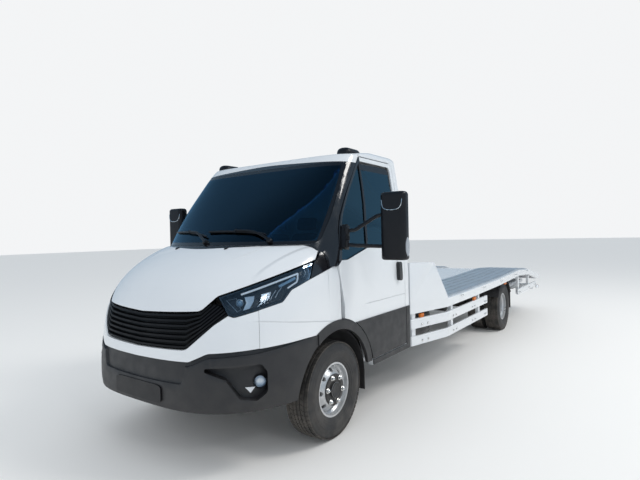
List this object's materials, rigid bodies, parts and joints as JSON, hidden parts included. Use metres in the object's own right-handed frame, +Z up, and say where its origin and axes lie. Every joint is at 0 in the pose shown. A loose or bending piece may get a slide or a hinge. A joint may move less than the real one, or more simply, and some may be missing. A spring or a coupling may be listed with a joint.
{
  "type": "flatbed recovery truck",
  "caption": "Chassis-cab recovery truck with a flat car-carrying bed, side beams, wheel tracks, stowed ramps, opening doors and hood, steered front wheels and twin rear wheels.",
  "frame": {"origin": "on the ground below the centre of the bounding box", "axes": "+Z up, -Y towards the front of the truck, +X to the truck's left"},
  "size_m": [2.888, 8.2201, 2.378],
  "materials": {
    "body_white": "gloss paint",
    "black_plastic": "satin",
    "grey_plastic": "grained, matte",
    "gloss_black": "gloss",
    "lamp_clear": "clear",
    "lamp_housing": "dark gloss",
    "window_glass": "tinted",
    "chassis_black": "satin",
    "interior_plastic": "grained",
    "seat_fabric": "woven",
    "cast_metal": "cast",
    "wheel_silver": "silver lacquer",
    "tyre_rubber": "matte",
    "exhaust_steel": "heat dulled",
    "track_aluminium": "ribbed",
    "marker_red": "moulded lens"
  },
  "bodies": {
    "chassis": {"grille": "black_plastic", "front_fascia": "body_white", "fenders": "body_white", "bumper": "grey_plastic", "wheel_arches": "grey_plastic", "lamp_lenses": "lamp_clear", "headlamps": "lamp_housing", "sill_cladding": "grey_plastic", "cab_frame": "body_white", "screen_frame": "body_white", "roof_panel": "body_white", "windscreen": "window_glass", "cowl": "gloss_black", "cab_floor": "chassis_black", "dashboard": "interior_plastic", "seats": "seat_fabric", "chassis_frame": "chassis_black", "engine": "cast_metal", "front_suspension": "chassis_black", "rear_suspension": "chassis_black", "propshaft": "chassis_black", "exhaust": "exhaust_steel", "fuel_tank": "black_plastic", "front_carrier": "black_plastic", "roof_pods": "black_plastic", "side_beams": "body_white", "deck_plate": "body_white", "wheel_tracks": "track_aluminium", "bed_frame": "body_white", "headboard": "body_white", "side_guards": "body_white", "mudguards": "black_plastic", "ramps": "track_aluminium", "rear_bumper": "body_white", "marker_lamps": "marker_red"},
    "hood": {"hood": "body_white"},
    "door_left": {"door_left": "body_white", "door_glass_left": "window_glass", "door_cladding_left": "grey_plastic", "mirror_left": "black_plastic"},
    "door_right": {"door_right": "body_white", "door_glass_right": "window_glass", "door_cladding_right": "grey_plastic", "mirror_right": "black_plastic"},
    "knuckle_left": {"knuckle_left": "cast_metal"},
    "knuckle_right": {"knuckle_right": "cast_metal"},
    "wheel_front_left": {"rim_front_left": "wheel_silver", "tyre_front_left": "tyre_rubber"},
    "wheel_front_right": {"rim_front_right": "wheel_silver", "tyre_front_right": "tyre_rubber"},
    "wheel_rear_left": {"rim_rear_left": "wheel_silver", "tyre_rear_left": "tyre_rubber"},
    "wheel_rear_right": {"rim_rear_right": "wheel_silver", "tyre_rear_right": "tyre_rubber"}
  },
  "joints": [
    {"name": "hood_hinge", "type": "hinge", "parent": "chassis", "child": "hood", "pos_m": [0, -3.15, 1.5], "axis": [-1, 0, 0], "range_deg": [0, 50]},
    {"name": "door_left_hinge", "type": "hinge", "parent": "chassis", "child": "door_left", "pos_m": [1, -2.998, 1.33], "axis": [0.0523, 0, -0.9986], "range_deg": [0, 68]},
    {"name": "door_right_hinge", "type": "hinge", "parent": "chassis", "child": "door_right", "pos_m": [-1, -2.998, 1.33], "axis": [0.0523, 0, 0.9986], "range_deg": [0, 68]},
    {"name": "steer_left", "type": "hinge", "parent": "chassis", "child": "knuckle_left", "pos_m": [0.712, -3.04, 0.372], "axis": [0, 0, 1], "range_deg": [-36, 36]},
    {"name": "steer_right", "type": "hinge", "parent": "chassis", "child": "knuckle_right", "pos_m": [-0.712, -3.04, 0.372], "axis": [0, 0, 1], "range_deg": [-36, 36]},
    {"name": "spin_front_left", "type": "hinge", "parent": "knuckle_left", "child": "wheel_front_left", "pos_m": [0.87, -3.04, 0.372], "axis": [1, 0, 0], "continuous": true},
    {"name": "spin_front_right", "type": "hinge", "parent": "knuckle_right", "child": "wheel_front_right", "pos_m": [-0.87, -3.04, 0.372], "axis": [1, 0, 0], "continuous": true},
    {"name": "spin_rear_left", "type": "hinge", "parent": "chassis", "child": "wheel_rear_left", "pos_m": [0.822, 1.71, 0.372], "axis": [1, 0, 0], "continuous": true},
    {"name": "spin_rear_right", "type": "hinge", "parent": "chassis", "child": "wheel_rear_right", "pos_m": [-0.822, 1.71, 0.372], "axis": [1, 0, 0], "continuous": true}
  ],
  "couplings": [
    {"joint": "steer_right", "follows": "steer_left", "ratio": 1}
  ]
}
